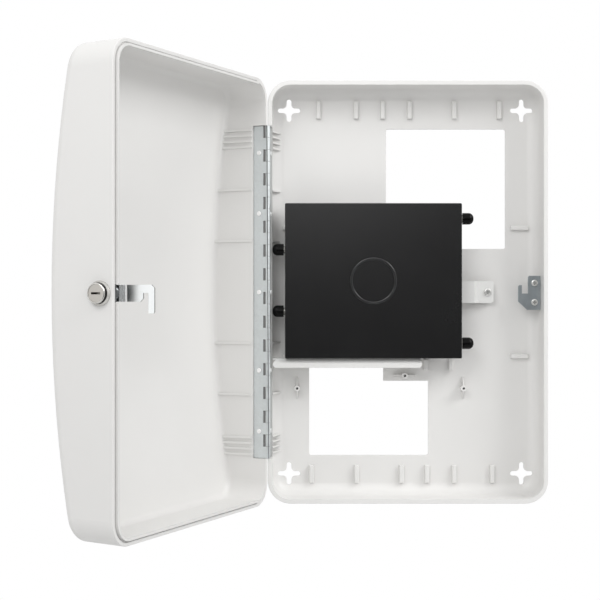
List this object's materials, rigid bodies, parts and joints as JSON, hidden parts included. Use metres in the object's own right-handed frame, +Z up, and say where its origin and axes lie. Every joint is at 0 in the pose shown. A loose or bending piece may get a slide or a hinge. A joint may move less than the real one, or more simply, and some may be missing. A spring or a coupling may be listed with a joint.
{
  "type": "lockable access point enclosure",
  "caption": "Wall-mounted plastic enclosure with a bulged door on a piano hinge, a cam lock with hook latch, and a radio access point mounted on a bracket inside.",
  "frame": {"origin": "middle of the tray's back face, on the wall plane", "axes": "+X to the right seen from the front, +Y into the wall, +Z up; the door opens toward -Y about a vertical hinge on the left"},
  "size_m": [0.4888, 0.3185, 0.453],
  "materials": {
    "shell_plastic": "matte",
    "hinge_zinc": "satin",
    "rivet_steel": "satin",
    "keeper_steel": "satin",
    "screw_steel": "satin",
    "bracket_white": "satin",
    "cover_black": "satin",
    "ring_black": "gloss",
    "back_aluminium": "satin",
    "board_green": "satin",
    "socket_nickel": "satin",
    "cap_black": "gloss",
    "lock_chrome": "polished",
    "latch_zinc": "satin"
  },
  "bodies": {
    "base": {"base_tray": "shell_plastic", "hinge_leaf_base": "hinge_zinc", "hinge_rivets_base": "rivet_steel", "hinge_pin": "hinge_zinc", "keeper_plate": "keeper_steel", "keeper_screws": "screw_steel", "ap_shelf": "bracket_white", "ap_shelf_screws": "screw_steel", "mounting_strap": "bracket_white", "strap_screws": "screw_steel", "strap_ap_screws": "screw_steel", "ap_front_cover": "cover_black", "ap_light_ring": "ring_black", "ap_back_plate": "back_aluminium", "ap_back_screws": "screw_steel", "ap_circuit_board": "board_green", "antenna_sockets": "socket_nickel", "antenna_socket_nuts": "socket_nickel", "antenna_dust_caps": "cap_black"},
    "door": {"door_shell": "shell_plastic", "hinge_leaf_door": "hinge_zinc", "hinge_rivets_door": "rivet_steel", "lock_body": "lock_chrome", "lock_washer": "screw_steel", "lock_nut": "screw_steel"},
    "latch": {"lock_plug": "lock_chrome", "latch_hook": "latch_zinc", "latch_washer": "screw_steel", "latch_screw": "screw_steel"}
  },
  "joints": [
    {"name": "door_swing", "type": "hinge", "parent": "base", "child": "door", "pos_m": [-0.15, -0.044, 0], "axis": [0, 0, -1], "range_deg": [-115.5, 17.5]},
    {"name": "latch_turn", "type": "hinge", "parent": "door", "child": "latch", "pos_m": [-0.29161, -0.30884, -0.00105], "axis": [-0.4305, -0.9026, 0], "range_deg": [0, 90]}
  ]
}
